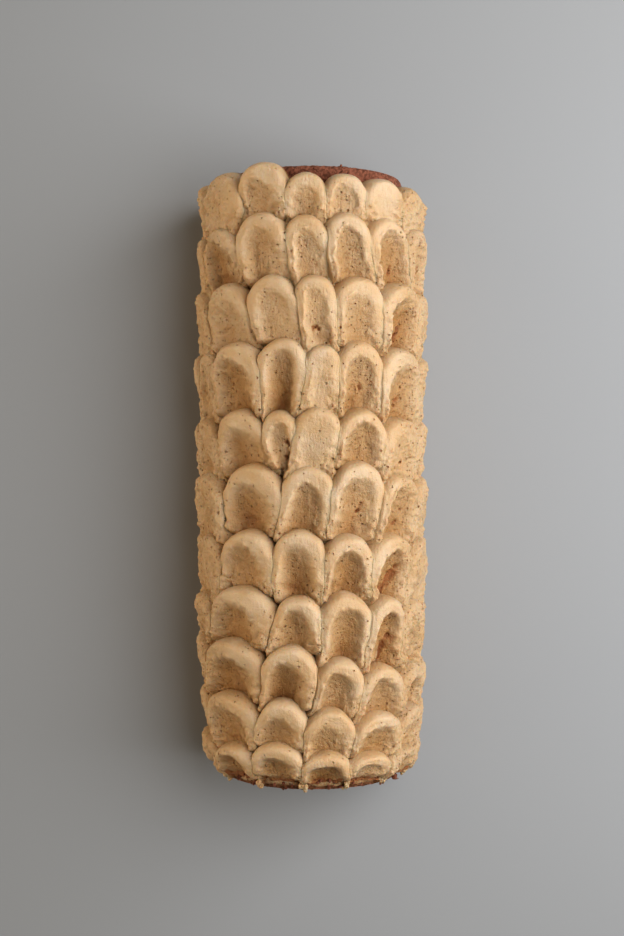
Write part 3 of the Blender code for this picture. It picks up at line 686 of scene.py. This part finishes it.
def make_filling():
    """The strip of filling, rolled up evenly, from end to end."""
    turns = np.linspace(0, SPIRAL_TURNS, FILLING_STEPS)
    height, angle, shift = WAVES
    sides = []
    for offset in (FILLING_HALF, -FILLING_HALF):
        x, z = spiral(turns, offset + height * np.sin(turns * angle + offset * shift))
        sides.append(np.stack([x, z], -1))
    section = np.concatenate([sides[0], sides[1][::-1]])
    end, bend = LENGTH / 2 + PROUD, (LENGTH / 2 + NARROW_FROM) / 2
    rings = []
    for along in (-end, -bend, -NARROW_FROM, NARROW_FROM, bend, end):
        x, z = section.T * girth(along)
        rings.append(np.stack([x, 0 * x + along, z], -1))
    count = len(section)
    i = np.arange(FILLING_STEPS - 1)
    cap = np.stack([i, i + 1, count - 2 - i, count - 1 - i], -1)
    faces = [grid_faces(len(rings), count), cap[:, ::-1], cap + count * (len(rings) - 1)]
    return add_piece("rolled_filling", np.concatenate(rings), np.concatenate(faces))


def make_cut_end(name, side):
    """The crumb of one end: its face, sunk behind the filling, and a band of skin."""
    arcs = np.linspace(-ARC_ROUND / 2, ARC_ROUND / 2, END_POINTS + 1)[:-1]
    inward = np.concatenate([np.linspace(0.02, 1, END_RINGS), np.ones(BAND_RINGS)])
    back = np.concatenate([np.zeros(END_RINGS), np.linspace(0, BAND, BAND_RINGS + 1)[1:]])
    arc, share = np.meshgrid(arcs, inward)
    back = back[:, None] + 0 * arc
    on_face = back == 0
    skin_x, skin_z = np.interp(arc, ARC, SKIN_X), np.interp(arc, ARC, SKIN_Z)
    x, z = skin_x * share, AXIS_HEIGHT + (skin_z - AXIS_HEIGHT) * share
    local = np.stack([x, z, back + side], -1)
    crumb = sum(share_of(local, layer) for layer in CRUMB_RELIEF)
    holes = smooth(0.45, 0.8, share_of(local, HOLES))
    clear = smooth(FILLING_HALF, FILLING_HALF + FILLING_CLEAR, off_spiral(x, z))
    edge = smooth(0.95, 1.0, share) * on_face
    plain, by_relief, by_holes = CRUMB_STANDS
    proud = (plain + by_relief * crumb - by_holes * holes) * MM
    out = np.where(on_face, proud * clear - SUNK * (1 - clear) - EDGE_SUNK * edge, -back - BAND_SUNK)
    raised = np.where(on_face, EDGE_STANDS * MM * edge * crumb, proud * BAND_STANDS[1] + BAND_STANDS[0] * MM)
    x = x + raised * np.interp(arc, ARC, NORMAL_X)
    z = z + raised * np.interp(arc, ARC, NORMAL_Z)
    size = girth(side * LENGTH / 2)
    points = np.stack([x * size, side * (LENGTH / 2 + out), z * size], -1).reshape(-1, 3)
    points = raised_to(points, LOWEST_CRUMB)
    faces = above(points, grid_faces(len(inward), END_POINTS), LOWEST_CRUMB)
    return add_piece(name, points, faces[:, ::-1] if side > 0 else faces)


def blob(middle, size, seed, mesh_size):
    """A small lump of this size, with an uneven surface."""
    rings, count = mesh_size
    turn, rise = np.meshgrid(np.arange(count) / count * 2 * math.pi,
                             np.linspace(0.02, 0.98, rings) * math.pi)
    ball = np.stack([np.sin(rise) * np.cos(turn), np.sin(rise) * np.sin(turn), np.cos(rise)], -1)
    share, grain, noise_seed = BLOB_ROUGH
    rough = 1 + share * noise(ball + seed * BLOB_SPACING, grain, noise_seed)[..., None]
    return (ball * rough * size + middle).reshape(-1, 3), grid_faces(rings, count)[:, ::-1]


def make_drips():
    """Cream that hangs over the front edge at the last row's gaps."""
    draw = random.Random(SEED + 2)
    lumps = []
    for arc in row_divisions(ROWS[-1][0])[0]:
        if abs(arc) > DRIPS_TO:
            continue
        for i in range(draw.choice((2, 3, 3, 4))):
            lump_arc = arc + draw.uniform(-1.0, 1.0) * MM
            along = COAT_FRONT + (DRIP_BEHIND - DRIP_STEP * i) * MM
            height = (DRIP_HEIGHT - DRIP_STEP * i + draw.uniform(-0.6, 0.6)) * MM
            size = np.array([draw.uniform(0.9, 1.6), draw.uniform(1.2, 2.0), draw.uniform(1.0, 1.7)]) * MM
            lumps.append(blob(on_log(np.array(lump_arc), np.array(along), np.array(height)),
                              size * (1 - DRIP_DWINDLES * i), draw.uniform(0, 50), DRIP_MESH))
    points, faces = joined(lumps)
    return add_piece("cream_drips", points, faces, cream_values(len(points), scraped=HALF_SCRAPED, cream=8))


def make_crumbs():
    """Crumbs of sponge that cling to the cream's two edges."""
    draw = random.Random(SEED + 3)
    lumps = []
    for i in range(CRUMBS):
        middle, scatter, least, most = BACK_CRUMBS if i % 4 == 0 else FRONT_CRUMBS
        along = max(-CRUMBS_WITHIN, min(CRUMBS_WITHIN, draw.gauss(middle, scatter)))
        arc = draw.uniform(-CRUMBS_TO, CRUMBS_TO)
        height = draw.uniform(least, most) * MM
        size = CRUMB_RADIUS * math.exp(draw.gauss(0, 0.4))
        size = np.array([1.0, draw.uniform(0.7, 1.3), 0.8]) * size
        lumps.append(blob(on_log(np.array(arc), np.array(along), np.array(height)),
                          size, draw.uniform(0, 90), CRUMB_MESH))
    return add_piece("sponge_crumbs", *joined(lumps))


# ---- materials ----
CREAM_PALE = (0.60, 0.452, 0.298)
CREAM_DEEP = (0.565, 0.39, 0.222)
CREAM_SCRAPED = (0.54, 0.36, 0.195)
# Brown cream, which in the hollows is painted shade
CREAM_BROWN_AND_SHADE = (0.38, 0.205, 0.070)
CREAM_THIN = (0.28, 0.135, 0.05)
# Painted shade in the pits and in the dips of the grain
CREAM_PIT_SHADE = (0.29, 0.135, 0.045)
SPONGE_SEEN = (0.36, 0.155, 0.058)
SPONGE_DARK = (0.13, 0.048, 0.025)
SPONGE_PALE = (0.30, 0.125, 0.075)
SMEARED_DARK = (0.12, 0.050, 0.020)
SMEARED_PALE = (0.27, 0.130, 0.060)
FLOOR_GREY = (0.34, 0.345, 0.35)
GLOW_REACH = (0.003, 0.0015, 0.0007)  # of red, green and blue light inside the cream


class Shading:
    """A material's node tree, with short ways to add the nodes used here."""

    def __init__(self, name):
        self.material = bpy.data.materials.new(name)
        self.material.use_nodes = True
        self.nodes, self.links = self.material.node_tree.nodes, self.material.node_tree.links
        self.shader = self.nodes["Principled BSDF"]
        self.place = self.nodes.new("ShaderNodeTexCoord").outputs["Object"]

    def feed(self, socket, source):
        """Link a socket to this source, or set it to this value."""
        if hasattr(source, "links"):
            self.links.new(source, socket)
        else:
            socket.default_value = source

    def noise(self, grain, detail=3.0, roughness=0.5, stretch=None):
        """Noise with this grain in metres, drawn out along the log if asked."""
        node = self.nodes.new("ShaderNodeTexNoise")
        node.inputs["Scale"].default_value = 1 / grain
        node.inputs["Detail"].default_value = detail
        node.inputs["Roughness"].default_value = roughness
        place = self.place
        if stretch:
            scaled = self.nodes.new("ShaderNodeVectorMath")
            scaled.operation = "MULTIPLY"
            scaled.inputs[1].default_value = (1, 1 / stretch, 1)
            self.links.new(place, scaled.inputs[0])
            place = scaled.outputs[0]
        self.links.new(place, node.inputs["Vector"])
        return node.outputs["Fac"]

    def pits(self, spacing, radius, share):
        """1 in the middle of round pits, which this share of a scatter of cells has."""
        cells = self.nodes.new("ShaderNodeTexVoronoi")
        cells.inputs["Scale"].default_value = 1 / spacing
        self.links.new(self.place, cells.inputs["Vector"])
        chance = self.nodes.new("ShaderNodeSeparateColor")
        self.links.new(cells.outputs["Color"], chance.inputs["Color"])
        has_pit = self.math("LESS_THAN", chance.outputs["Red"], share)
        smallest = 0.6 * radius / spacing
        size = self.math("MULTIPLY_ADD", chance.outputs["Green"], smallest, smallest)
        depth = self.math("SUBTRACT", 1.0, self.math("DIVIDE", cells.outputs["Distance"], size))
        return self.math("MULTIPLY", self.math("MAXIMUM", depth, 0.0), has_pit)

    def value(self, name):
        """One of the values that the piece has at its points."""
        node = self.nodes.new("ShaderNodeAttribute")
        node.attribute_name = name
        return node.outputs["Fac"]

    def math(self, operation, first, second=0.0, third=0.0):
        node = self.nodes.new("ShaderNodeMath")
        node.operation = operation
        for socket, source in zip(node.inputs, (first, second, third)):
            self.feed(socket, source)
        return node.outputs[0]

    def spread(self, source, low, high, to_low=0.0, to_high=1.0):
        """The source from low to high, made to run smoothly between the other two."""
        node = self.nodes.new("ShaderNodeMapRange")
        node.interpolation_type = "SMOOTHSTEP"
        for name, item in zip(("Value", "From Min", "From Max", "To Min", "To Max"),
                              (source, low, high, to_low, to_high)):
            self.feed(node.inputs[name], item)
        return node.outputs["Result"]

    def mix(self, share, first, second):
        """The first colour, with this share of the second."""
        node = self.nodes.new("ShaderNodeMix")
        node.data_type = "RGBA"
        factor, colour_a, colour_b = node.inputs[0], node.inputs[6], node.inputs[7]
        for socket, source in zip((factor, colour_a, colour_b), (share, first, second)):
            if isinstance(source, tuple):
                source = (*source, 1)
            self.feed(socket, source)
        return node.outputs[2]

    def bump(self, height, distance):
        node = self.nodes.new("ShaderNodeBump")
        node.inputs["Distance"].default_value = distance
        self.links.new(height, node.inputs["Height"])
        return node.outputs["Normal"]

    def finish(self, colour, normal, roughness, glow=0.0):
        """Link up the shader. `glow` is how much light goes on inside the surface."""
        self.feed(self.shader.inputs["Base Color"], colour)
        self.links.new(normal, self.shader.inputs["Normal"])
        self.feed(self.shader.inputs["Roughness"], roughness)
        self.shader.inputs["Subsurface Weight"].default_value = glow
        self.shader.inputs["Subsurface Radius"].default_value = GLOW_REACH
        self.shader.inputs["Subsurface Scale"].default_value = 1.0
        return self.material


def buttercream_material():
    """Coffee buttercream: pale and close on the heads, and coarse, pitted and browner where it was scraped,
    with the sponge showing where it is thin, and with painted shade in the hollows, in the pits and in the
    dips of the grain."""
    make = Shading("coffee_buttercream")
    scraped = make.value("scraped")
    patches = make.noise(grain=0.016, detail=4)
    fine = make.noise(grain=0.0011, detail=5, roughness=0.65)
    pulled = make.noise(grain=0.0011, detail=4, roughness=0.6, stretch=5)
    colour = make.mix(make.spread(patches, 0.35, 0.65), CREAM_DEEP, CREAM_PALE)
    colour = make.mix(make.math("MULTIPLY", scraped, 0.75), colour, CREAM_SCRAPED)

    # Painted shade, darker the deeper in a hollow, and browner where the cream is thin, both in millimetres
    # with a ragged edge.
    ragged = make.math("MULTIPLY_ADD", make.noise(grain=0.0035, detail=4, roughness=0.6), 1.8, -0.9)
    deep = make.math("ADD", make.value("deep"), ragged)
    colour = make.mix(make.spread(deep, 0.0, 9.5), colour, CREAM_BROWN_AND_SHADE)
    thickness = make.math("ADD", make.value("cream"), ragged)
    colour = make.mix(make.spread(thickness, 1.5, 5.0, 0.9, 0.0), colour, CREAM_THIN)
    bared = make.math("ADD", make.value("bared"), make.math("MULTIPLY", ragged, 0.25))
    colour = make.mix(make.spread(bared, 0.35, 0.65, 0.0, 0.9), colour, SPONGE_SEEN)

    # Painted shade in the dips of the fine grain and in the air holes, which are only bumps, with more of
    # both where the cream was scraped.
    grain_dip_shade = make.math("MULTIPLY", make.spread(fine, 0.50, 0.30), make.spread(scraped, 0.0, 1.0, 0.05, 0.35))
    colour = make.mix(grain_dip_shade, colour, CREAM_PIT_SHADE)
    small = make.pits(spacing=0.0013, radius=0.00042, share=make.spread(scraped, 0.1, 1.0, 0.05, 0.55))
    large = make.pits(spacing=0.0032, radius=0.00074, share=make.spread(scraped, 0.1, 1.0, 0.08, 0.45))
    pitted = make.math("MINIMUM", make.math("ADD", small, large), 1.0)
    colour = make.mix(make.spread(pitted, 0.15, 0.8, 0.0, 0.75), colour, CREAM_PIT_SHADE)

    coarse = make.spread(scraped, 0.0, 1.0, 0.45, 1.0)
    grain = make.math("ADD", make.math("MULTIPLY", fine, 0.75), make.math("MULTIPLY", pulled, 0.6))
    relief = make.math("MULTIPLY", grain, coarse)
    relief = make.math("SUBTRACT", relief, make.math("MULTIPLY", pitted, 1.4))
    return make.finish(colour, make.bump(relief, distance=0.0014), roughness=0.5, glow=0.40)


def filling_material():
    """Cream with dark grain, cut through at both ends."""
    make = Shading("cream_filling")
    fine = make.noise(grain=0.0012, detail=4, roughness=0.6)
    colour = make.mix(make.spread(fine, 0.30, 0.60), CREAM_BROWN_AND_SHADE, CREAM_DEEP)
    return make.finish(colour, make.bump(fine, distance=0.0008), roughness=0.5, glow=0.25)


def sponge_material(name, smear, dark, pale):
    """Dry crumb of two colours, with cream smeared over some of it by the knife:
    the higher `smear`, the more of it."""
    make = Shading(name)
    crumb = make.noise(grain=0.0016, detail=5, roughness=0.65)
    colour = make.mix(make.spread(crumb, 0.35, 0.62), dark, pale)
    patches = make.math("ADD", make.noise(grain=0.005, detail=5, roughness=0.7), smear)
    colour = make.mix(make.spread(patches, 0.60, 0.80, 0.0, 0.9), colour, CREAM_BROWN_AND_SHADE)
    return make.finish(colour, make.bump(crumb, distance=0.0012), roughness=0.9)


def floor_material():
    make = Shading("pale_floor")
    make.shader.inputs["Base Color"].default_value = (*FLOOR_GREY, 1)
    make.shader.inputs["Roughness"].default_value = 0.8
    return make.material


# ---- camera, light and floor ----
CAMERA_HEIGHT = 0.689
CAMERA_ALONG = 0.0049
LENS = 50                # millimetres, as the sensor's width
SENSOR_WIDTH = 36
FLOOR_SIZE = 6
WINDOW = {"place": (0.52, 0.12, 0.58), "target": (0, 0, 0.03), "size": (0.8, 1.1),
          "energy": 8.3, "colour": (0.985, 1.0, 1.03)}
FAR_WALL = {"place": (-1.3, 0.05, 0.16), "target": (0, 0, 0.07), "size": (1.6, 0.3),
            "energy": 9.0, "colour": (1.0, 0.86, 0.66)}
ROOM_COLOUR = (1.0, 0.92, 0.80)
ROOM_STRENGTH = 0.195


def add_camera():
    data = bpy.data.cameras.new("camera")
    data.lens = LENS
    data.sensor_width = SENSOR_WIDTH
    camera = bpy.data.objects.new("camera", data)
    camera.location = (0, CAMERA_ALONG, CAMERA_HEIGHT)
    bpy.context.collection.objects.link(camera)
    bpy.context.scene.camera = camera


def add_light(name, place, target, size, energy, colour):
    """A soft rectangular light in watts, turned to its target."""
    data = bpy.data.lights.new(name, "AREA")
    data.shape = "RECTANGLE"
    data.size, data.size_y = size
    data.energy = energy
    data.color = colour
    lamp = bpy.data.objects.new(name, data)
    bpy.context.collection.objects.link(lamp)
    lamp.location = place
    lamp.rotation_euler = (Vector(target) - Vector(place)).to_track_quat("-Z", "Y").to_euler()


def add_stage():
    """The floor, the two lights and the room's own dim light."""
    bpy.ops.mesh.primitive_plane_add(size=FLOOR_SIZE, location=(0, 0, 0))
    floor = bpy.context.object
    floor.name = "floor"
    floor.data.materials.append(floor_material())
    add_light("window", **WINDOW)
    add_light("far_wall", **FAR_WALL)
    world = bpy.data.worlds.new("room")
    bpy.context.scene.world = world
    world.use_nodes = True
    background = world.node_tree.nodes["Background"]
    background.inputs["Color"].default_value = (*ROOM_COLOUR, 1)
    background.inputs["Strength"].default_value = ROOM_STRENGTH
    bpy.context.scene.view_settings.view_transform = "Standard"
    bpy.context.scene.view_settings.look = "High Contrast"


def main():
    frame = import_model()
    cream = buttercream_material()
    crumb = sponge_material("chocolate_sponge", -0.2, SPONGE_DARK, SPONGE_PALE)
    smeared = sponge_material("smeared_sponge", 0.06, SMEARED_DARK, SMEARED_PALE)
    ends = ((make_cut_end("back_crumb", 1), crumb), (make_cut_end("front_crumb", -1), smeared),
            (make_crumbs(), crumb))
    for piece, look in ends:
        piece.data.materials.append(look)
        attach(piece, "root")
    for piece in [*make_rows(), make_coat(), make_drips()]:
        piece.data.materials.append(cream)
        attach(piece, "root")
        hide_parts("buttercream")
    sponge = frame["nodes"]["sponge_roll"]
    sponge.data.materials.clear()
    sponge.data.materials.append(crumb)
    piece = make_filling()
    piece.data.materials.append(filling_material())
    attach(piece, "root")
    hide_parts("filling")
    add_camera()
    add_stage()


main()
